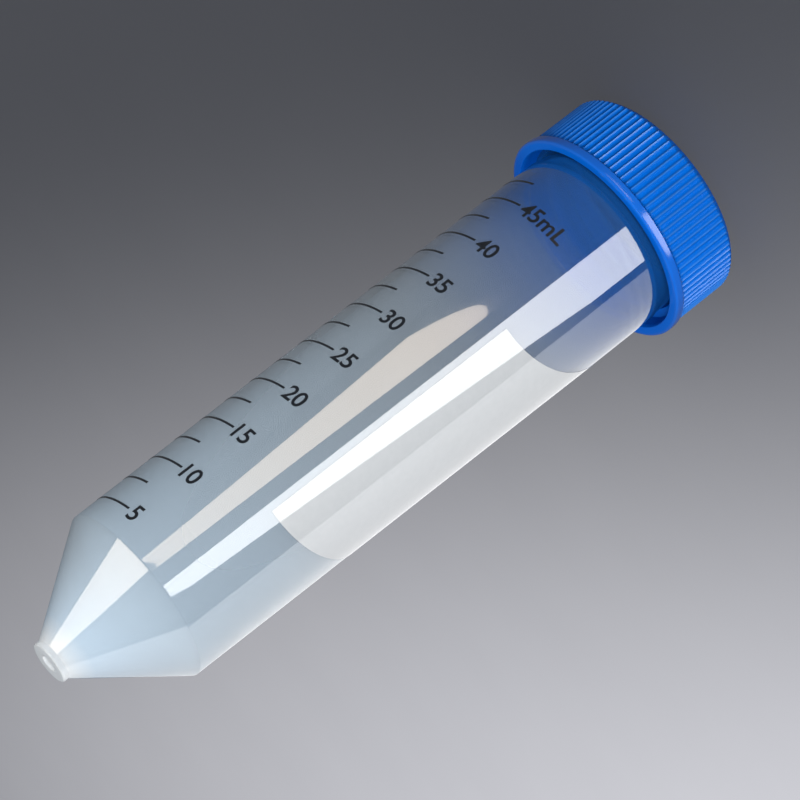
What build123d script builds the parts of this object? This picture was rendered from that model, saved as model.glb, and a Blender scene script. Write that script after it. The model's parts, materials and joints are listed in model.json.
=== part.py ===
from build123d import *
import os
from math import cos, pi, radians, sin

# Screw-capped 50 ml conical tube, standing on its cap: it would roll on its side.  Millimetres.
# Every piece is drawn upright round the Z axis, with the tip's end face at z = 0 and the cap on top.
# The whole is then turned over, so that it stands on the flat top of its cap with the tip up.

# --- tube: outside -------------------------------------------------------------------------------
tip_radius = 3.3            # flat end of the cone
tip_land = 0.9              # short straight nub that the flat end stands on
cone_height = 15.7          # from the tip's end face to the shoulder
shoulder_radius = 13.9      # where the cone meets the body, the body's narrow end
shoulder_round = 0.45       # edge round of the shoulder
body_draft = 0.55           # how much the body's radius grows from the shoulder to the band
band_start = 92.0           # height at which the body's draft ends and the straight band begins
tube_length = 114.6         # tip to mouth, without the cap
tip_round = 0.3
tip_dimple_radius = 1.3     # moulding gate's dimple in the end face
tip_dimple_depth = 0.35

# --- tube: inside --------------------------------------------------------------------------------
wall = 1.1                  # wall of the body
floor_thickness = 1.9       # material between the end face and the lowest point of the inside
floor_radius = 2.0          # inside radius at the foot of the inner cone
floor_chamfer = 0.8
lip_chamfer = 0.3           # outer edge of the mouth

# --- neck and its outside thread -----------------------------------------------------------------
neck_inset = 0.25           # neck's face inside the band's, so that the band ends in a small step
neck_wall = 0.95
neck_step = 0.25            # height of the step's chamfer
neck_height = 10.4          # mouth down to the step
thread_lead = 3.6           # lift for one whole turn
thread_height = 1.0         # tube thread, from the neck's face
thread_foot = 1.9           # axial width of the thread at the neck's face
thread_crest = 0.85         # axial width of the thread at its crest
thread_turns = 1.6
thread_below_mouth = 2.3    # centre of the thread's upper end, below the mouth
thread_bite = 0.3           # how deep a thread's foot is rooted in its wall

# --- cap -----------------------------------------------------------------------------------------
cap_height = 12.5
thread_clearance = 0.55     # tube thread's crest to the cap's inner wall
cap_wall = 1.05             # inner wall to the bottom of the grooves between the ribs
rib_height = 0.33
rib_count = 96
rib_foot_share = 0.66       # share of the pitch that a rib takes at its foot and at its crest
rib_crest_share = 0.3
rim_step = 0.7              # how far the smooth rim at the open end stands out past the grooves
rim_height = 1.35
rim_round = 0.4
rim_to_rib = 0.35           # slope from the rim up to the ribs
cap_top_chamfer = 0.8
cap_top_thickness = 1.6
cap_mouth_chamfer = 0.3
cap_thread_crest_gap = 0.35  # running gap between the cap thread's crest and the neck
cap_thread_turns = 1.5
cap_thread_inset = 0.6      # clear wall between the open end and the thread
flank_gap = 0.25            # gap between the loaded flanks with the cap closed

# --- sealing liner -------------------------------------------------------------------------------
liner_thickness = 1.0
liner_gap = 0.3             # round the liner, inside the cap
bead_hold = 0.45            # how far the bead reaches under the liner's edge
bead_height = 0.7

# --- print ---------------------------------------------------------------------------------------
ink_thickness = 0.06
patch_thickness = 0.08
mark_width = 0.36
mark_step_ml = 2.5
first_mark_ml = 5.0
mark_to_neck = 3.5          # bare wall left between the top mark and the neck's step
marks_start = -81.0         # angles round the tube, in degrees from the line that faces -X
long_mark_end = -19.2
short_mark_end = -27.4
patch_start = 36.5
patch_end = 122.0
patch_bottom = 34.6         # height of the patch's two ends at its first edge
patch_top = 78.9
patch_climb = 14.0          # how far each end climbs in the first quarter turn

# --- cuts ----------------------------------------------------------------------------------------
cut_past = 1.0              # how far a hollow's cut runs on past an open end

# --- worked out ----------------------------------------------------------------------------------
band_radius = shoulder_radius + body_draft
neck_radius = band_radius - neck_inset
neck_bottom = tube_length - neck_height
inner_shoulder_radius = shoulder_radius - wall
inner_band_radius = band_radius - wall
cap_top = tube_length + liner_thickness + cap_top_thickness
cap_bottom = cap_top - cap_height
cap_inner_radius = neck_radius + thread_height + thread_clearance
cap_root_radius = cap_inner_radius + cap_wall
cap_rib_radius = cap_root_radius + rib_height
rim_radius = cap_root_radius + rim_step
liner_radius = cap_inner_radius - liner_gap
tube_thread_start = tube_length - thread_below_mouth - thread_lead * thread_turns
thread_width_at_crest_gap = thread_foot - (thread_foot - thread_crest) * cap_thread_crest_gap / thread_height
flank_to_flank = (thread_width_at_crest_gap + thread_crest) / 2 + flank_gap


def wall_radius(height):
    """Outer radius of the body at a height above the tip."""
    share = min(max((height - cone_height) / (band_start - cone_height), 0.0), 1.0)
    return shoulder_radius + share * (band_radius - shoulder_radius)


def frustum(radius_1, radius_2, height):
    """Volume of a cone's slice."""
    return pi * height / 3 * (radius_1 ** 2 + radius_1 * radius_2 + radius_2 ** 2)


def level_of(millilitres):
    """Height above the tip that a volume of liquid fills the upright tube to."""
    volume = millilitres * 1000
    in_cone = frustum(floor_radius, inner_shoulder_radius, cone_height - floor_thickness)
    in_body = frustum(inner_shoulder_radius, inner_band_radius, band_start - cone_height)
    if volume > in_cone + in_body:
        return band_start + (volume - in_cone - in_body) / (pi * inner_band_radius ** 2)
    draft = (inner_band_radius - inner_shoulder_radius) / (band_start - cone_height)
    top_radius = (3 * draft * (volume - in_cone) / pi + inner_shoulder_radius ** 3) ** (1 / 3)
    return cone_height + (top_radius - inner_shoulder_radius) / draft


def turned(points):
    """Solid of revolution round Z from the corners (radius, height) of its half section."""
    return revolve(make_face(Polyline(*[(radius, 0, height) for radius, height in points], close=True)), Axis.Z)


def edges_at(solid, radius, height):
    """The solid's round edges at that radius and height."""
    return [
        edge for edge in solid.edges().filter_by(GeomType.CIRCLE)
        if abs(edge.radius - radius) < 0.01 and abs(edge.arc_center.Z - height) < 0.01
    ]


def thread(radius, foot, crest, height, start, turns):
    """Right-hand thread ridge on a wall of that radius; a negative height points inwards.

    It begins at the height start, at the angle that puts it on the turn of the tube's own thread.
    """
    side = 1 if height > 0 else -1
    root = radius - side * thread_bite
    spread = foot / 2 + (foot - crest) / 2 * thread_bite / abs(height)
    section = Polyline(
        (root, 0, -spread),
        (radius + height, 0, -crest / 2),
        (radius + height, 0, crest / 2),
        (root, 0, spread),
        close=True,
    )
    path = Helix(pitch=thread_lead, height=thread_lead * turns, radius=radius)
    ridge = sweep(make_face(section), path=path, is_frenet=True)
    on_the_turn = 360 * (start - tube_thread_start) / thread_lead
    return Pos(0, 0, start) * Rot(0, 0, on_the_turn) * ridge


def tube_shell():
    """Body, cone, band and neck as one turned shell, open at the mouth."""
    outside = turned([
        (0, 0),
        (tip_radius, 0),
        (tip_radius, tip_land),
        (shoulder_radius, cone_height),
        (band_radius, band_start),
        (band_radius, neck_bottom - neck_step),
        (neck_radius, neck_bottom),
        (neck_radius, tube_length),
        (0, tube_length),
    ])
    outside = fillet(edges_at(outside, shoulder_radius, cone_height), shoulder_round)
    outside = fillet(edges_at(outside, tip_radius, 0), tip_round)
    inside = turned([
        (0, floor_thickness),
        (floor_radius, floor_thickness),
        (inner_shoulder_radius, cone_height),
        (inner_band_radius, band_start),
        (neck_radius - neck_wall, neck_bottom),
        (neck_radius - neck_wall, tube_length + cut_past),
        (0, tube_length + cut_past),
    ])
    inside = chamfer(edges_at(inside, floor_radius, floor_thickness), floor_chamfer)
    shell = outside - inside
    shell = chamfer(edges_at(shell, neck_radius, tube_length), lip_chamfer)
    dimple = Pos(0, 0, tip_dimple_depth / 2) * Cylinder(tip_dimple_radius, tip_dimple_depth)
    return shell - dimple


def tube():
    """The whole moulded tube with its neck thread."""
    ridge = thread(neck_radius, thread_foot, thread_crest, thread_height, tube_thread_start, thread_turns)
    return tube_shell() + ridge


def rib_outline():
    """Cross-section of the ribbed cap wall: ribs with sloping flanks and flat grooves between them."""
    pitch = 2 * pi / rib_count
    corners = []
    for number in range(rib_count):
        middle = number * pitch
        for radius, share in (
            (cap_root_radius, -rib_foot_share),
            (cap_rib_radius, -rib_crest_share),
            (cap_rib_radius, rib_crest_share),
            (cap_root_radius, rib_foot_share),
        ):
            angle = middle + share * pitch / 2
            corners.append((radius * cos(angle), radius * sin(angle)))
    return make_face(Polyline(*corners, close=True))


def cap_shell():
    """Ribbed cap with a smooth rim, a flat top and a retaining bead for its liner."""
    rib_bottom = cap_bottom + rim_height
    ribbed = Pos(0, 0, rib_bottom - rim_to_rib) * extrude(rib_outline(), cap_top - rib_bottom + rim_to_rib)
    envelope = turned([
        (0, cap_bottom),
        (rim_radius, cap_bottom),
        (rim_radius, rib_bottom),
        (cap_rib_radius, rib_bottom + rim_to_rib),
        (cap_rib_radius, cap_top - cap_top_chamfer),
        (cap_rib_radius - cap_top_chamfer, cap_top),
        (0, cap_top),
    ])
    rim = turned([
        (0, cap_bottom),
        (rim_radius, cap_bottom),
        (rim_radius, rib_bottom),
        (cap_root_radius, rib_bottom + rim_to_rib),
        (0, rib_bottom + rim_to_rib),
    ])
    rim = fillet(edges_at(rim, rim_radius, cap_bottom), rim_round)
    ceiling = cap_top - cap_top_thickness
    bead_top = ceiling - liner_thickness
    bead_radius = liner_radius - bead_hold
    slope = cap_inner_radius - bead_radius
    hollow = turned([
        (0, cap_bottom - cut_past),
        (cap_inner_radius + cap_mouth_chamfer, cap_bottom - cut_past),
        (cap_inner_radius + cap_mouth_chamfer, cap_bottom),
        (cap_inner_radius, cap_bottom + cap_mouth_chamfer),
        (cap_inner_radius, bead_top - bead_height),
        (bead_radius, bead_top - bead_height + slope / 2),
        (bead_radius, bead_top),
        (cap_inner_radius, bead_top),
        (cap_inner_radius, ceiling),
        (0, ceiling),
    ])
    return (ribbed & envelope) + rim - hollow


def cap():
    """The whole moulded cap with its inside thread, its loaded flanks just under the tube's."""
    height = cap_inner_radius - neck_radius - cap_thread_crest_gap
    start = cap_bottom + cap_thread_inset + thread_foot / 2
    ridge = thread(cap_inner_radius, thread_foot, thread_crest, -height, start, cap_thread_turns)
    behind = 360 * flank_to_flank / thread_lead
    return cap_shell() + Rot(0, 0, behind) * ridge


def sealing_liner():
    """Disc pressed between the tube's mouth and the cap's ceiling."""
    return Pos(0, 0, tube_length + liner_thickness / 2) * Cylinder(liner_radius, liner_thickness)


def film(bottom, top, start, end, thickness):
    """Printed film on the body between two heights and two angles from the top line."""
    def corner(height, proud):
        return (wall_radius(height) + proud, 0, height)

    section = Polyline(corner(bottom, 0), corner(bottom, thickness), corner(top, thickness), corner(top, 0), close=True)
    turn = revolve(make_face(section), Axis.Z, revolution_arc=end - start)
    return Rot(0, 0, start - 180) * turn


def writing_patch():
    """White write-on field; both its ends climb as they go round."""
    outward = radians(patch_start - 180)
    width_turn = radians(patch_end - patch_start)
    highest = patch_top + patch_climb * (1 - cos(width_turn))
    patch = film(patch_bottom, highest, patch_start, patch_end, patch_thickness)
    for height, kept in ((patch_bottom, Keep.TOP), (patch_top, Keep.BOTTOM)):
        radius = wall_radius(height)
        tilt = patch_climb / radius
        foot = (radius * cos(outward), radius * sin(outward), height)
        end = Plane(origin=foot, z_dir=(tilt * cos(outward), tilt * sin(outward), 1))
        patch = split(patch, bisect_by=end, keep=kept)
    return patch


def marked_levels():
    """Liquid levels of every whole step from the first mark up, as far as the neck leaves room."""
    levels = []
    level = level_of(first_mark_ml)
    while level < neck_bottom - mark_to_neck:
        levels.append(level)
        level = level_of(first_mark_ml + len(levels) * mark_step_ml)
    return levels


def graduation_marks():
    """Marks for every 2.5 ml, each at its true liquid level, the whole fives longer."""
    marks = []
    for number, level in enumerate(marked_levels()):
        end = long_mark_end if number % 2 == 0 else short_mark_end
        marks.append(film(level - mark_width / 2, level + mark_width / 2, marks_start, end, ink_thickness))
    return Compound(marks)


nodes = {
    "tube": tube(),
    "cap": cap(),
    "sealing_liner": sealing_liner(),
    "writing_patch": writing_patch(),
    "graduation_marks": graduation_marks(),
}
place = Pos(0, 0, cap_top) * Rot(180, 0, 0)
os.makedirs("parts", exist_ok=True)
for name, shape in nodes.items():
    export_step(place * shape, f"parts/{name}.step")
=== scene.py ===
import json
from math import cos, pi, radians, sin, tan

import bmesh
import bpy
from mathutils import Matrix, Vector


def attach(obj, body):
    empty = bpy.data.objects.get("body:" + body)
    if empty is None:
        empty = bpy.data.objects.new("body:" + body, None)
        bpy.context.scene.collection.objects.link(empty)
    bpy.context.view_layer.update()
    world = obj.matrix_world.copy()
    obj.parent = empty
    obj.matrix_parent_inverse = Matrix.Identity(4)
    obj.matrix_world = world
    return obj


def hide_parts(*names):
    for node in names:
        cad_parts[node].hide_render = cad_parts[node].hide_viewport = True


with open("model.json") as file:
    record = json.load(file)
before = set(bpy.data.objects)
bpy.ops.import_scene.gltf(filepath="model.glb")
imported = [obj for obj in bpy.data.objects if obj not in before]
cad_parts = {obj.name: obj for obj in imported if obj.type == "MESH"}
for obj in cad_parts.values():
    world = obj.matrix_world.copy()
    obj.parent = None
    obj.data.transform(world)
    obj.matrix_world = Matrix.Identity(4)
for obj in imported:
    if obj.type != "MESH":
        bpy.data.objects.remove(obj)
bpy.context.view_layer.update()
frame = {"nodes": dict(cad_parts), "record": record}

MM = 0.001

# --- the tube's sizes in millimetres; heights count from the tip towards the cap ------------------
TUBE_LENGTH = 114.6
CONE_HEIGHT = 15.7
TIP_RADIUS = 3.3
SHOULDER_RADIUS = 13.9
BAND_START = 92.0
BAND_RADIUS = 14.45
WALL = 1.1
FLOOR_HEIGHT = 1.9
FLOOR_RADIUS = 2.0
NECK_BOTTOM = 104.2
NECK_RADIUS = 14.2
NECK_WALL = 0.95
MOUTH_STEP = 0.25        # the band ends this far below the neck
GATE_DEPTH = 0.35        # recess in the tip, left by the mould's gate
TIP_LAND = 0.9           # straight nub at the tip

# --- the thread ------------------------------------------------------------------------------------
LEAD = 3.6               # height of one turn
THREAD_FOOT = 1.9        # width at the wall
THREAD_CREST = 0.85      # width at the crest
THREAD_HEIGHT = 1.0
THREAD_TURNS = 1.6
THREAD_BELOW_MOUTH = 2.3
CAP_THREAD_TURNS = 1.5
CAP_THREAD_GAP = 0.35    # from the cap thread's crest to the neck
CAP_THREAD_INSET = 0.6   # clear wall between the cap's open end and its thread
CAP_THREAD_TURN = radians(115.1)     # where the cap's thread begins, past the tube's own
RUN_OUT = 12             # a thread rises to its full height in one twelfth of a turn

# --- the cap's sizes -------------------------------------------------------------------------------
CAP_TOP = 117.2
CAP_BOTTOM = 104.7
CAP_GROOVE_RADIUS = 16.8
CAP_RIB_HEIGHT = 0.33
CAP_RIBS = 96
POINTS_A_RIB = 8
RIM_RADIUS = 17.49
RIM_HEIGHT = 1.35
CAP_INSIDE_RADIUS = 15.75
TOP_EDGE = 0.9           # the ribs fade out over this height under the top
RIB_SLOPE = 0.35         # and over this height above the rim
CEILING = 115.6
THREADED_TO = 113.5      # the inner wall is plain above this height
BEAD_FOOT = 113.9
BEAD_RADIUS = 15.0
BEAD_START = 114.3
BEAD_END = 114.6

# --- the print's sizes; angles in degrees ----------------------------------------------------------
FIRST_MARK = 5           # millilitres
MARK_STEP = 2.5
MARKS = 18
MARK_WIDTH = 0.36
MARKS_START = -81
LONG_MARK_END = -19.2
SHORT_MARK_END = -27.4
FIGURES_START = -16.5
FIGURE_HEIGHT = 2.75
FIGURE_SLICE = 0.35      # figures are cut into strips this wide, so that they bend round the tube
PATCH_START = 36.5
PATCH_END = 122
PATCH_BOTTOM = 34.6
PATCH_TOP = 78.9
PATCH_BOTTOM_CLIMB = 12.0      # how far each end climbs in a quarter turn
PATCH_TOP_CLIMB = 16.0
INK_FOOT = 0.004         # ink starts this far off the wall, so that the two skins stay apart
MARK_INK = 0.035
FIGURE_INK = 0.02
PATCH_INK = 0.05

# --- gloss -----------------------------------------------------------------------------------------
# The sharp, strong mirror images of lamps on polished plastic and on varnish.
MIRROR_IOR = 1.9
SHARP = 0.015


# === where things are ==============================================================================

def tube_space():
    """Frame of the tube: Z along its axis from the tip to the cap, X to the line that angles count from."""
    seat = next(m for m in frame["record"]["mounts"] if m["name"] == "cap_top")
    axis = Vector(seat["axis"]).normalized()
    front = Vector((-1, 0, 0))
    front = (front - axis * axis.dot(front)).normalized()
    turn = Matrix((front, axis.cross(front), axis)).transposed().to_4x4()
    tip = Vector(seat["pos_m"]) - axis * CAP_TOP * MM
    return Matrix.Translation(tip) @ turn


TUBE_SPACE = tube_space()


def on_tube(radius, turn, height):
    """Point at a radius and height in mm and at a turn in radians from the tube's X axis."""
    return Vector((radius * cos(turn), radius * sin(turn), height)) * MM


def wall_radius(height):
    """Outer radius of the drafted body at a height."""
    share = min(max((height - CONE_HEIGHT) / (BAND_START - CONE_HEIGHT), 0), 1)
    return SHOULDER_RADIUS + share * (BAND_RADIUS - SHOULDER_RADIUS)


# === shaping =======================================================================================

def rounded_profile(corners, steps=4):
    """Half section (radius, height) whose corners, given as (radius, height, round), become small arcs."""
    profile = []
    for i, (r, z, round_) in enumerate(corners):
        here = Vector((r, z))
        if round_ == 0 or i in (0, len(corners) - 1):
            profile.append((r, z))
            continue
        before = Vector(corners[i - 1][:2]) - here
        after = Vector(corners[i + 1][:2]) - here
        half_angle = before.angle(after) / 2
        reach = min(round_ / tan(half_angle), before.length * 0.49, after.length * 0.49)
        start = here + before.normalized() * reach
        end = here + after.normalized() * reach
        for k in range(steps + 1):
            t = k / steps
            point = start * (1 - t) ** 2 + here * 2 * t * (1 - t) + end * t * t
            profile.append((point.x, point.y))
    return profile


def filled(profile, low, high, gap):
    """The profile with extra rows of points, no further apart than gap, between two heights."""
    rows = [profile[0]]
    for r, z in profile[1:]:
        r0, z0 = rows[-1]
        inside = min(z0, z) < high and max(z0, z) > low
        cuts = int(abs(z - z0) / gap) + 1 if inside else 1
        for k in range(1, cuts + 1):
            rows.append((r0 + (r - r0) * k / cuts, z0 + (z - z0) * k / cuts))
    return rows


def set_in_place(name, mesh, material):
    """Object from a mesh built in the tube's frame: moved to the tube, its faces turned outwards."""
    shape = bmesh.new()
    shape.from_mesh(mesh)
    bmesh.ops.recalc_face_normals(shape, faces=shape.faces)
    shape.to_mesh(mesh)
    shape.free()
    mesh.transform(TUBE_SPACE)
    mesh.polygons.foreach_set("use_smooth", [True] * len(mesh.polygons))
    mesh.set_sharp_from_angle(angle=radians(40))
    mesh.materials.append(material)
    piece = bpy.data.objects.new(name, mesh)
    bpy.context.scene.collection.objects.link(piece)
    return piece


def turned_skin(name, rows, segments, radius_at, material, inside=None, inside_from=0):
    """Closed skin turned round the axis; radius_at(row, turn) gives each point's radius.

    From the row inside_from on its faces take the second material.
    """
    points = [on_tube(0, 0, rows[0][1])]
    for index, (r, z) in enumerate(rows[1:-1], 1):
        for s in range(segments):
            turn = 2 * pi * s / segments
            points.append(on_tube(radius_at(index, turn), turn, z))
    points.append(on_tube(0, 0, rows[-1][1]))
    faces = [(0, 1 + (s + 1) % segments, 1 + s) for s in range(segments)]
    for a in range(1, 1 + (len(rows) - 3) * segments, segments):
        b = a + segments
        faces += [(a + s, a + (s + 1) % segments, b + (s + 1) % segments, b + s) for s in range(segments)]
    faces += [(b + s, b + (s + 1) % segments, len(points) - 1) for s in range(segments)]
    mesh = bpy.data.meshes.new(name)
    mesh.from_pydata(points, [], faces)
    piece = set_in_place(name, mesh, material)
    if inside:
        mesh.materials.append(inside)
        for face in mesh.polygons[inside_from * segments:]:
            face.material_index = 1
    piece.modifiers.new("even_shading", "WEIGHTED_NORMAL").keep_sharp = True
    return piece


def thread_rise(turn, z, start, turns, first_turn, height):
    """How far a thread stands out at a place: sloping flanks, a rounded crest and run-out ends."""
    along = (turn - first_turn) / (2 * pi)
    best = 0
    for whole in range(-1, 5):
        passed = along + whole
        if not 0 <= passed <= turns:
            continue
        ends = min(passed, turns - passed) * RUN_OUT
        off = abs(z - start - LEAD * passed)
        share = (THREAD_FOOT / 2 - off) / ((THREAD_FOOT - THREAD_CREST) / 2)
        share = min(max(share, 0), 1)
        best = max(best, share * share * (3 - 2 * share) * min(ends, 1))
    return best * height


# === materials =====================================================================================

def linear(hex_code, alpha=1):
    """Linear colour from an sRGB hex code."""
    channels = [int(hex_code[i:i + 2], 16) / 255 for i in (1, 3, 5)]
    return [c / 12.92 if c <= 0.04045 else ((c + 0.055) / 1.055) ** 2.4 for c in channels] + [alpha]


def add(tree, kind, settings=None, **links):
    """Adds a node; settings are its own or its sockets' values, links are what feeds its sockets."""
    node = tree.nodes.new(kind)
    for key, value in (settings or {}).items():
        if hasattr(node, key) and key not in node.inputs:
            setattr(node, key, value)
        else:
            node.inputs[int(key) if key.isdigit() else key].default_value = value
    for key, source in links.items():
        socket = node.inputs[int(key[1:])] if key[1:].isdigit() else node.inputs[key.replace("_", " ")]
        tree.links.new(source, socket)
    return node


def new_material(name):
    """Material without nodes yet, and its node tree."""
    material = bpy.data.materials.new(name)
    material.use_nodes = True
    material.node_tree.nodes.clear()
    return material, material.node_tree


def along_tube(tree, place):
    """Height above the tip and distance from the axis, in metres, of the point that is shaded."""
    upright = add(tree, "ShaderNodeMapping", {
        "vector_type": "TEXTURE", "Rotation": TUBE_SPACE.to_euler(), "Location": TUBE_SPACE.translation,
    }, Vector=place.outputs["Object"])
    height = add(tree, "ShaderNodeSeparateXYZ", {}, Vector=upright.outputs[0]).outputs["Z"]
    level = add(tree, "ShaderNodeVectorMath", {"operation": "MULTIPLY", "1": (1, 1, 0)}, _0=upright.outputs[0])
    radius = add(tree, "ShaderNodeVectorMath", {"operation": "LENGTH"}, _0=level.outputs[0]).outputs["Value"]
    return height, radius


def ramp(tree, height, start, end, start_value, end_value):
    """Value that changes between two heights or radii, in millimetres, and stays level past them."""
    return add(tree, "ShaderNodeMapRange", {
        "From Min": start * MM, "From Max": end * MM, "To Min": start_value, "To Max": end_value,
    }, Value=height).outputs[0]


def total(tree, first, second):
    """Sum of two values, kept between 0 and 1."""
    return add(tree, "ShaderNodeMath", {"operation": "ADD", "use_clamp": True}, _0=first, _1=second).outputs[0]


def product(tree, first, second):
    """Product of two values."""
    return add(tree, "ShaderNodeMath", {"operation": "MULTIPLY"}, _0=first, _1=second).outputs[0]


def moulded_polypropylene(name, coat, haze_face_on, haze_grazing, roughness):
    """Thin polypropylene wall, injection moulded: its polished outside reflects sharply.

    The eye gets a soft, faintly blue view of what lies behind, clouded by the plastic's own haze.
    The haze gathers to the tip, where the plastic entered the mould, and where the eye looks along the wall.
    Towards the neck the haze is painted blue, a painted glow for the cap's light and reflection, with painted
    faint rings for the thread's reflection, and round the mould's gate it is white.  The core's satin inside has
    no sharp reflection.
    """
    material, tree = new_material(name)
    place = add(tree, "ShaderNodeTexCoord")
    drawn = add(tree, "ShaderNodeMapping", {
        "vector_type": "TEXTURE", "Rotation": TUBE_SPACE.to_euler(), "Scale": (1, 1, 8),
    }, Vector=place.outputs["Object"])
    flow = add(tree, "ShaderNodeTexNoise", {"Scale": 260.0, "Detail": 3.0}, Vector=drawn.outputs[0])
    haze = add(tree, "ShaderNodeTexNoise", {"Scale": 55.0, "Detail": 2.0}, Vector=place.outputs["Object"])
    tint = add(tree, "ShaderNodeMix", {"data_type": "RGBA", "6": linear("#EEF3F6"), "7": linear("#F4F8FA")},
               _0=haze.outputs[0])
    ripple = add(tree, "ShaderNodeBump", {"Strength": 0.03, "Distance": 0.0002}, Height=flow.outputs[0])
    wall = add(tree, "ShaderNodeBsdfPrincipled", {
        "Roughness": roughness, "IOR": 1.49, "Transmission Weight": 1.0, "Specular IOR Level": 0.0,
        "Coat Weight": coat, "Coat Roughness": SHARP, "Coat IOR": MIRROR_IOR,
    }, Base_Color=tint.outputs[2], Normal=ripple.outputs[0])

    height, _ = along_tube(tree, place)
    # Painted glow: towards the neck the haze is painted blue for the cap's blue light and reflection; it stays
    # when the cap is off.
    milk_and_painted_cap_blue = add(tree, "ShaderNodeMix", {
        "data_type": "RGBA", "6": linear("#D2E1ED"), "7": linear("#1E6CBE"),
    }, _0=ramp(tree, height, 74, 96, 0, 1))
    gate_white_and_painted_cap_blue = add(tree, "ShaderNodeMix", {"data_type": "RGBA", "7": linear("#F0F2F3")},
                     _0=ramp(tree, height, 4, 1, 0, 1), _6=milk_and_painted_cap_blue.outputs[2]).outputs[2]
    passing = add(tree, "ShaderNodeBsdfTranslucent", {}, Color=gate_white_and_painted_cap_blue)
    turned_back = add(tree, "ShaderNodeBsdfPrincipled", {
        "Roughness": 0.5, "IOR": 1.49, "Specular IOR Level": 0.0,
        "Coat Weight": coat, "Coat Roughness": SHARP, "Coat IOR": MIRROR_IOR,
    }, Base_Color=gate_white_and_painted_cap_blue)
    milk = add(tree, "ShaderNodeMixShader", {"0": 0.6}, _1=passing.outputs[0], _2=turned_back.outputs[0])
    glance = add(tree, "ShaderNodeLayerWeight", {"Blend": 0.3})
    cloud = add(tree, "ShaderNodeMapRange", {"To Min": haze_face_on, "To Max": haze_grazing},
                Value=glance.outputs["Facing"])
    edges = product(tree, cloud.outputs[0], ramp(tree, height, 24, 8, 1, 2.2))
    to_tip = total(tree, ramp(tree, height, 96, 10, 0, 0.33), ramp(tree, height, CONE_HEIGHT, 3, 0, 0.3))
    # Painted reflection: faint rings of extra blue haze near the neck stand in for the thread's image seen through
    # the wall.
    rings = add(tree, "ShaderNodeTexWave", {
        "bands_direction": "Z", "Scale": 170.0, "Distortion": 0.6, "Detail": 1.0,
    }, Vector=place.outputs["Object"])
    painted_thread_rings = product(tree, rings.outputs["Fac"], ramp(tree, height, 94, 103, 0, 0.08))
    # The share of painted blue haze grows towards the cap.
    painted_cap_blue_share = total(tree, ramp(tree, height, 78, 106, 0, 0.36), painted_thread_rings)
    share = total(tree, total(tree, edges, to_tip), painted_cap_blue_share)
    body = add(tree, "ShaderNodeMixShader", {}, _0=share, _1=wall.outputs[0], _2=milk.outputs[0])
    clear = add(tree, "ShaderNodeBsdfTransparent", {"Color": linear("#E9F1F6")})
    path = add(tree, "ShaderNodeLightPath")
    seen = add(tree, "ShaderNodeMixShader", {}, _0=path.outputs["Is Shadow Ray"],
               _1=body.outputs[0], _2=clear.outputs[0])
    add(tree, "ShaderNodeOutputMaterial", {}, Surface=seen.outputs[0])
    return material


def moulded_polyethylene():
    """Blue high-density polyethylene, injection moulded in a fine spark-eroded tool.

    The eye gets a saturated blue with a waxy gloss that breaks up very slightly on the ribs.  Their crests
    carry a painted highlight, a paler blue, and the smooth rim is glossier than the grooves.
    """
    material, tree = new_material("moulded_polyethylene")
    place = add(tree, "ShaderNodeTexCoord")
    grain = add(tree, "ShaderNodeTexNoise", {"Scale": 4200.0, "Detail": 2.0}, Vector=place.outputs["Object"])
    cloud = add(tree, "ShaderNodeTexNoise", {"Scale": 120.0, "Detail": 2.0}, Vector=place.outputs["Object"])
    blue = add(tree, "ShaderNodeMix", {"data_type": "RGBA", "6": linear("#006ADC"), "7": linear("#0076EA")},
               _0=cloud.outputs[0])
    gloss = add(tree, "ShaderNodeMapRange", {"To Min": 0.3, "To Max": 0.36}, Value=grain.outputs[0])
    skin = add(tree, "ShaderNodeBump", {"Strength": 0.06, "Distance": 0.00005}, Height=grain.outputs[0])
    height, radius = along_tube(tree, place)
    rib_foot = CAP_BOTTOM + RIM_HEIGHT
    out_of_groove = CAP_GROOVE_RADIUS + 0.12
    # Painted highlight: the rib crests are painted a paler blue, standing in for the lamps' glint on them.
    crest_highlight_share = product(tree, ramp(tree, radius, out_of_groove, CAP_GROOVE_RADIUS + CAP_RIB_HEIGHT, 0, 0.5),
                       ramp(tree, height, rib_foot + 0.3, rib_foot + 0.7, 0, 1))
    painted_crest_highlight = add(tree, "ShaderNodeMix", {"data_type": "RGBA", "7": linear("#5CA8F5")},
               _0=crest_highlight_share, _6=blue.outputs[2]).outputs[2]
    polish = ramp(tree, radius, out_of_groove, CAP_GROOVE_RADIUS + 0.5, 0.03, 1)
    shell = add(tree, "ShaderNodeBsdfPrincipled", {
        "IOR": 1.51, "Specular IOR Level": 0.12, "Coat Roughness": 0.16, "Coat IOR": 1.8,
    }, Base_Color=painted_crest_highlight, Roughness=gloss.outputs[0], Normal=skin.outputs[0], Coat_Weight=polish)
    glow = add(tree, "ShaderNodeBsdfTranslucent", {}, Color=blue.outputs[2])
    body = add(tree, "ShaderNodeMixShader", {"0": 0.2}, _1=shell.outputs[0], _2=glow.outputs[0])
    add(tree, "ShaderNodeOutputMaterial", {}, Surface=body.outputs[0])
    return material


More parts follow.
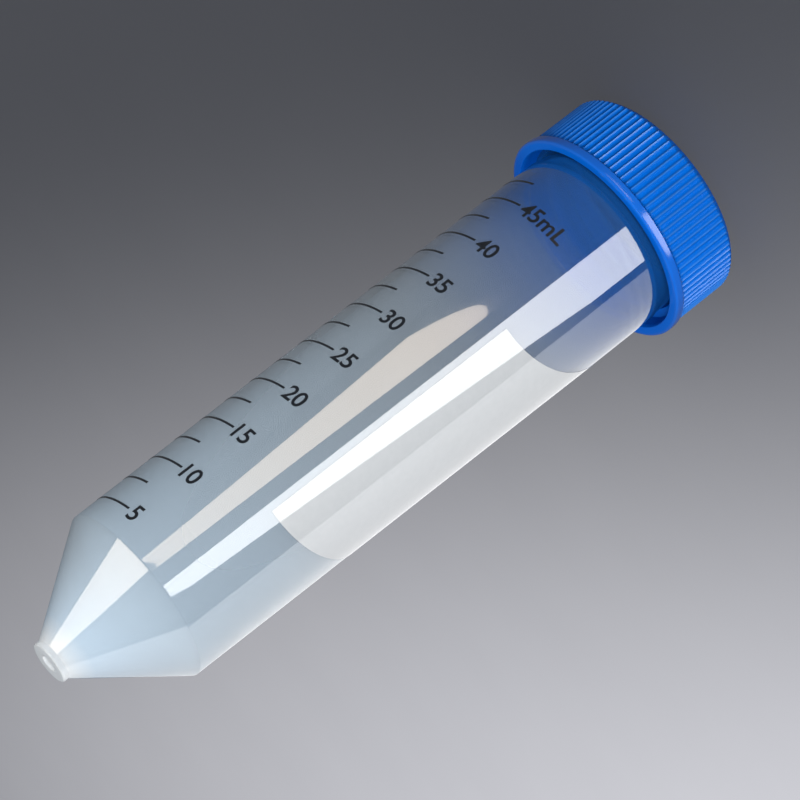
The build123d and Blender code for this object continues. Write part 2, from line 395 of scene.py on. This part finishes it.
def screen_ink(name, colour, worn_colour, roughness, varnish):
    """Screen-printed ink: an even film with a faint mottle from the screen's mesh, glossy from its varnish."""
    material, tree = new_material(name)
    place = add(tree, "ShaderNodeTexCoord")
    mottle = add(tree, "ShaderNodeTexNoise", {"Scale": 900.0, "Detail": 3.0}, Vector=place.outputs["Object"])
    shade = add(tree, "ShaderNodeMix", {"data_type": "RGBA", "6": linear(colour), "7": linear(worn_colour)},
                _0=mottle.outputs[0])
    mesh_print = add(tree, "ShaderNodeBump", {"Strength": 0.08, "Distance": 0.00003}, Height=mottle.outputs[0])
    ink = add(tree, "ShaderNodeBsdfPrincipled", {
        "Roughness": roughness, "IOR": 1.5,
        "Coat Weight": varnish, "Coat Roughness": 2 * SHARP, "Coat IOR": MIRROR_IOR,
    }, Base_Color=shade.outputs[2], Normal=mesh_print.outputs[0])
    add(tree, "ShaderNodeOutputMaterial", {}, Surface=ink.outputs[0])
    return material


def foamed_polyethylene():
    """Liner punched from foamed polyethylene sheet: off-white and matt, with tiny closed cells."""
    material, tree = new_material("foamed_polyethylene")
    place = add(tree, "ShaderNodeTexCoord")
    cells = add(tree, "ShaderNodeTexVoronoi", {"Scale": 1600.0}, Vector=place.outputs["Object"])
    shade = add(tree, "ShaderNodeMix", {"data_type": "RGBA", "6": linear("#DAD9D2"), "7": linear("#EDECE6")},
                _0=cells.outputs[0])
    pits = add(tree, "ShaderNodeBump", {"Strength": 0.3, "Distance": 0.0001}, Height=cells.outputs[0])
    foam = add(tree, "ShaderNodeBsdfPrincipled", {"Roughness": 0.7, "IOR": 1.5},
               Base_Color=shade.outputs[2], Normal=pits.outputs[0])
    add(tree, "ShaderNodeOutputMaterial", {}, Surface=foam.outputs[0])
    return material


def matt_laminate():
    """Pale matt laminate: the eye gets an even grey with the faintest fleck and no mirror image."""
    material, tree = new_material("matt_laminate")
    place = add(tree, "ShaderNodeTexCoord")
    fleck = add(tree, "ShaderNodeTexNoise", {"Scale": 30.0, "Detail": 4.0}, Vector=place.outputs["Object"])
    shade = add(tree, "ShaderNodeMix", {"data_type": "RGBA", "6": linear("#B2B2B7"), "7": linear("#B6B6BB")},
                _0=fleck.outputs[0])
    top = add(tree, "ShaderNodeBsdfPrincipled", {"Roughness": 0.6, "IOR": 1.45, "Specular IOR Level": 0.15},
              Base_Color=shade.outputs[2])
    add(tree, "ShaderNodeOutputMaterial", {}, Surface=top.outputs[0])
    return material


# === the tube ======================================================================================

def tube_wall(polished, satin):
    """Cone, drafted body, band, threaded neck and the inside, as one skin."""
    inner_shoulder = SHOULDER_RADIUS - WALL
    inner_band = BAND_RADIUS - WALL
    neck_inside = NECK_RADIUS - NECK_WALL
    profile = rounded_profile([
        (0, GATE_DEPTH, 0),
        (1.05, 0.33, 0.2),
        (1.35, 0.02, 0.2),
        (TIP_RADIUS, 0, 0.3),
        (TIP_RADIUS, TIP_LAND, 0.3),
        (SHOULDER_RADIUS, CONE_HEIGHT, 0.45),
        (BAND_RADIUS, BAND_START, 2.0),
        (BAND_RADIUS, NECK_BOTTOM - MOUTH_STEP, 0.1),
        (NECK_RADIUS, NECK_BOTTOM, 0.1),
        (NECK_RADIUS, TUBE_LENGTH, 0.3),
        (neck_inside, TUBE_LENGTH, 0.15),
        (neck_inside, NECK_BOTTOM, 2.0),
        (inner_band, BAND_START, 2.0),
        (inner_shoulder, CONE_HEIGHT, 0.6),
        (FLOOR_RADIUS, FLOOR_HEIGHT, 0.9),
        (0, FLOOR_HEIGHT, 0),
    ])
    rows = filled(profile, NECK_BOTTOM, TUBE_LENGTH, 0.14)
    mouth = max(range(len(rows)), key=lambda i: rows[i][1])
    first_thread = TUBE_LENGTH - THREAD_BELOW_MOUTH - LEAD * THREAD_TURNS

    def radius_at(index, turn):
        r, z = rows[index]
        if index >= mouth or z < NECK_BOTTOM + 0.3:
            return r
        return r + thread_rise(turn, z, first_thread, THREAD_TURNS, pi, THREAD_HEIGHT)

    return turned_skin("tube_wall", rows, 256, radius_at, polished, satin, mouth + 4)


def screw_cap(material):
    """Ribbed cap with its smooth rim, and inside it the thread and the bead that holds the liner."""
    rib_foot = CAP_BOTTOM + RIM_HEIGHT
    crest = CAP_GROOVE_RADIUS + CAP_RIB_HEIGHT
    profile = rounded_profile([
        (0, CAP_TOP, 0),
        (crest - TOP_EDGE, CAP_TOP, 0.6),
        (crest, CAP_TOP - TOP_EDGE, 0.6),
        (crest, rib_foot + 0.4, 0.15),
        (RIM_RADIUS, rib_foot, 0.25),
        (RIM_RADIUS, CAP_BOTTOM, 0.4),
        (CAP_INSIDE_RADIUS + 0.15, CAP_BOTTOM, 0.2),
        (CAP_INSIDE_RADIUS, CAP_BOTTOM + 0.6, 0.2),
        (CAP_INSIDE_RADIUS, BEAD_FOOT, 0.2),
        (BEAD_RADIUS, BEAD_START, 0.2),
        (BEAD_RADIUS, BEAD_END, 0.1),
        (CAP_INSIDE_RADIUS, BEAD_END, 0.05),
        (CAP_INSIDE_RADIUS, CEILING, 0.2),
        (0, CEILING, 0),
    ])
    lowest = min(range(len(profile)), key=lambda i: profile[i][1])
    rows = profile[:lowest] + filled(profile[lowest:], CAP_BOTTOM + 1, THREADED_TO, 0.2)
    thread_start = CAP_BOTTOM + CAP_THREAD_INSET + THREAD_FOOT / 2
    thread_turn = pi + CAP_THREAD_TURN
    inward = CAP_INSIDE_RADIUS - NECK_RADIUS - CAP_THREAD_GAP

    def radius_at(index, turn):
        r, z = rows[index]
        if index > lowest:
            if z > THREADED_TO or r < CAP_INSIDE_RADIUS - 0.01:
                return r
            return r - thread_rise(turn, z, thread_start, CAP_THREAD_TURNS, thread_turn, inward)
        depth = max(0.0, min(1.0, (CAP_TOP - z) / TOP_EDGE, (z - rib_foot) / RIB_SLOPE))
        wave = (1 + cos(CAP_RIBS * turn)) / 2
        groove = 1 - wave ** 3
        return r - CAP_RIB_HEIGHT * groove * depth

    return turned_skin("screw_cap", rows, CAP_RIBS * POINTS_A_RIB, radius_at, material)


# === the print =====================================================================================

def film(shape, start, end, low, high, proud, columns):
    """Adds a thin closed film of ink on the body; low and high give its edges' heights at a turn."""
    rows = 12 if columns > 20 else 1
    loops = []
    for c in range(columns + 1):
        turn = start + (end - start) * c / columns
        outer = []
        inner = []
        for k in range(rows + 1):
            z = low(turn) + (high(turn) - low(turn)) * k / rows
            outer.append(shape.verts.new(on_tube(wall_radius(z) + proud, turn, z)))
            inner.append(shape.verts.new(on_tube(wall_radius(z) + INK_FOOT, turn, z)))
        loops.append(outer + inner[::-1])
    for near, far in zip(loops, loops[1:]):
        for k in range(len(near)):
            m = (k + 1) % len(near)
            shape.faces.new((near[k], near[m], far[m], far[k]))
    for loop in (loops[0], loops[-1]):
        for k in range(rows):
            shape.faces.new((loop[k], loop[k + 1], loop[-k - 2], loop[-k - 1]))


def printed(name, shape, material):
    """Piece made of the ink in a shape, which is used up."""
    mesh = bpy.data.meshes.new(name)
    shape.to_mesh(mesh)
    shape.free()
    return set_in_place(name, mesh, material)


def write_on_patch(material):
    """White field for notes; both its ends climb as they go round the tube."""
    shape = bmesh.new()
    first = radians(PATCH_START)
    film(shape, first, radians(PATCH_END),
         lambda turn: PATCH_BOTTOM + PATCH_BOTTOM_CLIMB * (1 - cos(turn - first)),
         lambda turn: PATCH_TOP + PATCH_TOP_CLIMB * (1 - cos(turn - first)), PATCH_INK, 60)
    return printed("write_on_patch", shape, material)


def liquid_level(millilitres):
    """Height that a volume fills the upright tube to, from the cone and the drafted body inside."""
    r0, r1, r2 = FLOOR_RADIUS, SHOULDER_RADIUS - WALL, BAND_RADIUS - WALL
    volume = millilitres * 1000
    cone = pi * (CONE_HEIGHT - FLOOR_HEIGHT) / 3 * (r0 * r0 + r0 * r1 + r1 * r1)
    body = pi * (BAND_START - CONE_HEIGHT) / 3 * (r1 * r1 + r1 * r2 + r2 * r2)
    if volume > cone + body:
        return BAND_START + (volume - cone - body) / (pi * r2 * r2)
    draft = (r2 - r1) / (BAND_START - CONE_HEIGHT)
    top = (3 * draft * (volume - cone) / pi + r1 ** 3) ** (1 / 3)
    return CONE_HEIGHT + (top - r1) / draft


def scale_marks(material):
    """A line for every 2.5 ml, the whole fives longer."""
    shape = bmesh.new()
    for number in range(MARKS):
        level = liquid_level(FIRST_MARK + MARK_STEP * number)
        end = radians(LONG_MARK_END if number % 2 == 0 else SHORT_MARK_END)
        film(shape, radians(MARKS_START), end, lambda turn: level - MARK_WIDTH / 2,
             lambda turn: level + MARK_WIDTH / 2, MARK_INK, 16)
    return printed("scale_marks", shape, material)


def numeral_mesh(text, height):
    """Flat solid figures of a given height in mm, standing on their base line from x = 0."""
    curve = bpy.data.curves.new("figures", "FONT")
    curve.body = text
    curve.size = 4
    curve.extrude = 0.015
    curve.resolution_u = 6
    curve.offset = 0.06
    writing = bpy.data.objects.new("figures", curve)
    bpy.context.scene.collection.objects.link(writing)
    bpy.context.view_layer.update()
    flat = bpy.data.meshes.new_from_object(writing.evaluated_get(bpy.context.evaluated_depsgraph_get()))
    bpy.data.objects.remove(writing)
    bpy.data.curves.remove(curve)
    low = min(v.co.x for v in flat.vertices)
    foot = min(v.co.y for v in flat.vertices)
    tall = max(v.co.y for v in flat.vertices) - foot
    for v in flat.vertices:
        v.co = Vector(((v.co.x - low) * height / tall, (v.co.y - foot) * height / tall, v.co.z))
    return flat


def scale_numerals(material):
    """The figures 5 to 45 beside the long lines, read round the tube with their heads to the cap."""
    whole = bmesh.new()
    for number in range(9):
        volume = 5 * (number + 1)
        level = liquid_level(volume)
        flat = numeral_mesh("45mL" if volume == 45 else str(volume), FIGURE_HEIGHT)
        shape = bmesh.new()
        shape.from_mesh(flat)
        bpy.data.meshes.remove(flat)
        width = max(v.co.x for v in shape.verts)
        for k in range(1, int(width / FIGURE_SLICE) + 1):
            bmesh.ops.bisect_plane(shape, geom=shape.verts[:] + shape.edges[:] + shape.faces[:],
                                   plane_co=(FIGURE_SLICE * k, 0, 0), plane_no=(1, 0, 0), dist=1e-6)
        for v in shape.verts:
            z = level - FIGURE_HEIGHT / 2 + v.co.y
            turn = radians(FIGURES_START) + v.co.x / wall_radius(level)
            v.co = on_tube(wall_radius(z) + FIGURE_INK + v.co.z, turn, z)
        part = bpy.data.meshes.new("figures")
        shape.to_mesh(part)
        shape.free()
        whole.from_mesh(part)
        bpy.data.meshes.remove(part)
    return printed("scale_numerals", whole, material)


# === studio ========================================================================================

def table_top(material):
    """Wide pale table under the tube."""
    reach = 4.0
    steps = 8
    row = steps + 1
    mesh = bpy.data.meshes.new("table_top")
    points = [(reach * (2 * i / steps - 1), reach * (2 * j / steps - 1), 0)
              for j in range(row) for i in range(row)]
    faces = [(j * row + i, j * row + i + 1, (j + 1) * row + i + 1, (j + 1) * row + i)
             for j in range(steps) for i in range(steps)]
    mesh.from_pydata(points, [], faces)
    mesh.materials.append(material)
    table = bpy.data.objects.new("table_top", mesh)
    table.visible_glossy = False
    bpy.context.scene.collection.objects.link(table)
    return table


def softbox(name, centre, across, along, size, radiance, colour="#FFFFFF", mirrored=True, shining=False,
            flagged=None):
    """Even area light placed in the tube's frame; mirrored in its gloss, shining on its body, or both.

    flagged gives a direction and how far along it, in mm, a black flag ends that covers the light's near corner.
    """
    lamp = bpy.data.lights.new(name, "AREA")
    lamp.shape = "RECTANGLE"
    lamp.size = size[0] * MM
    lamp.size_y = size[1] * MM
    lamp.energy = radiance * pi * lamp.size * lamp.size_y
    lamp.color = linear(colour)[:3]
    x_axis = Vector(across).normalized()
    y_axis = (Vector(along) - x_axis * x_axis.dot(Vector(along))).normalized()
    if x_axis.cross(y_axis).dot(Vector(centre) - Vector((0, 0, TUBE_LENGTH / 2))) < 0:
        x_axis = -x_axis
    turn = Matrix((x_axis, y_axis, x_axis.cross(y_axis))).transposed().to_4x4()
    light = bpy.data.objects.new(name, lamp)
    light.matrix_world = TUBE_SPACE @ Matrix.Translation(Vector(centre) * MM) @ turn
    light.visible_camera = False
    light.visible_diffuse = shining
    light.visible_transmission = False
    light.visible_glossy = mirrored
    bpy.context.scene.collection.objects.link(light)
    if flagged:
        lamp.use_nodes = True
        tree = lamp.node_tree
        way = TUBE_SPACE.to_3x3() @ Vector(flagged[0])
        place = add(tree, "ShaderNodeNewGeometry")
        along_way = add(tree, "ShaderNodeVectorMath", {"operation": "DOT_PRODUCT", "1": way},
                        _0=place.outputs["Position"])
        past = add(tree, "ShaderNodeMath", {"operation": "GREATER_THAN",
                                            "1": flagged[1] * MM + way.dot(TUBE_SPACE.translation)},
                   _0=along_way.outputs["Value"])
        tree.links.new(past.outputs[0], tree.nodes["Emission"].inputs["Strength"])
    return light


def light_only(lights, state, *things):
    """Keeps these lights on these things (INCLUDE) or off them (EXCLUDE), as flags beside a lamp do."""
    group = bpy.data.collections.new("light_" + state.lower())
    for thing in things:
        group.objects.link(thing)
    for member in group.collection_objects:
        member.light_linking.link_state = state
    for light in lights:
        light.light_linking.receiver_collection = group
    return group


def pool_of_light(name, place, target, spread, power):
    """Soft-edged raking lamp that brightens the table on one side and leaves it dark on the other."""
    lamp = bpy.data.lights.new(name, "SPOT")
    lamp.spot_size = radians(spread)
    lamp.spot_blend = 1
    lamp.shadow_soft_size = 0.05
    lamp.energy = power
    light = bpy.data.objects.new(name, lamp)
    way = (Vector(target) - Vector(place)) * MM
    light.matrix_world = Matrix.Translation(Vector(place) * MM) @ way.to_track_quat("-Z", "Y").to_matrix().to_4x4()
    light.visible_glossy = False
    light.visible_camera = False
    bpy.context.scene.collection.objects.link(light)
    return light


def camera():
    """Long lens beyond the tip and to its front, rolled so that the tube slants with its cap upper right."""
    place = (421.983, 214.887, -113.429)
    lens = bpy.data.cameras.new("camera")
    lens.lens = 157.5
    lens.sensor_width = 36
    lens.clip_start = 0.01
    right = Vector((-0.02973, 0.67387, 0.73825)).normalized()
    up = Vector((0.54945, -0.60597, 0.57524))
    up = (up - right * right.dot(up)).normalized()
    view = bpy.data.objects.new("camera", lens)
    turn = Matrix((right, up, right.cross(up))).transposed().to_4x4()
    view.matrix_world = TUBE_SPACE @ Matrix.Translation(Vector(place) * MM) @ turn
    bpy.context.scene.collection.objects.link(view)
    bpy.context.scene.camera = view


# === making it =====================================================================================

camera()
bpy.context.scene.view_settings.view_transform = "Standard"
world = bpy.data.worlds.new("room")
world.use_nodes = True
world.node_tree.nodes["Background"].inputs[0].default_value = linear("#C8CCD4")
world.node_tree.nodes["Background"].inputs[1].default_value = 0.26
bpy.context.scene.world = world
bpy.context.scene.cycles.caustics_reflective = False
bpy.context.scene.cycles.caustics_refractive = False

# Panels that the gloss mirrors.
window_box = softbox("window_box", (412, 600, 600), (-0.04, 0, 1), (1, 0, 0.04), (776, 730), 4.7,
                     flagged=((0.413, 0, 1), 372.6))
hanging_panel = softbox("hanging_panel", (674, 65, 251), (0.217, -0.976, 0), (0.979, 0.19, 0.039),
                        (295, 505), 3.4, "#FFEBD4")
tip_box = softbox("tip_box", (288, -167, -390), (0, 1, 0), (0.818, 0, 0.573),
                  (425, 150), 4, "#FFF1E0", shining=True)
white_card = softbox("white_card", (-27, 156, 183), (0, 0, 1), (0, 1, 0), (550, 312), 1.2)
# Lamps that only light, and leave no mirror image.
soft_key = softbox("soft_key", (588, 500, -18), (-0.04, 0, 1), (0.639, -0.77, 0.026),
                   (500, 400), 4.9, mirrored=False, shining=True)
high_key = softbox("high_key", (1018, 381, -300), (0, 0, 1), (0.35, -0.94, 0),
                   (300, 300), 34, mirrored=False, shining=True)
cap_key = softbox("cap_key", (430, 380, -400), (-0.66, 0.75, 0), (0.5, 0.44, 0.75),
                  (400, 400), 11, mirrored=False, shining=True)
cone_fill = softbox("cone_fill", (-150, 350, -450), (1, 0, -0.32), (0, 1, 0.75),
                    (300, 300), 4.5, mirrored=False, shining=True)
raking = pool_of_light("raking_lamp", (-1844, 1790, 800), (222, 157, 0), 11.6, 1580)

table = table_top(matt_laminate())

polished = moulded_polypropylene("moulded_polypropylene_polished", 1.0, 0.02, 0.4, 0.06)
satin = moulded_polypropylene("moulded_polypropylene_satin", 0.0, 0.02, 0.15, 0.08)
black = screen_ink("black_screen_ink", "#0C1016", "#161A21", 0.42, 0.35)
white = screen_ink("white_screen_ink", "#C5C9CB", "#CED1D3", 0.4, 0.8)

wall = tube_wall(polished, satin)
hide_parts("tube")
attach(wall, "tube")

cap = screw_cap(moulded_polyethylene())
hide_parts("cap")
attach(cap, "cap")

patch = write_on_patch(white)
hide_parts("writing_patch")
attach(patch, "tube")

marks = scale_marks(black)
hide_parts("graduation_marks")
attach(marks, "tube")

numerals = scale_numerals(black)
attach(numerals, "tube")

liner = frame["nodes"]["sealing_liner"]
liner.data.materials.clear()
liner.data.materials.append(foamed_polyethylene())

# The cap sends no blue to the table; the liner stays dark behind the wall; only the table blocks its lamp.
cap.visible_diffuse = False
light_only([window_box, hanging_panel, soft_key], "EXCLUDE", table, liner)
light_only([tip_box, white_card, high_key], "EXCLUDE", table, liner, cap)
light_only([cap_key], "INCLUDE", cap)
light_only([cone_fill], "INCLUDE", wall)
raking.light_linking.blocker_collection = light_only([raking], "INCLUDE", table)
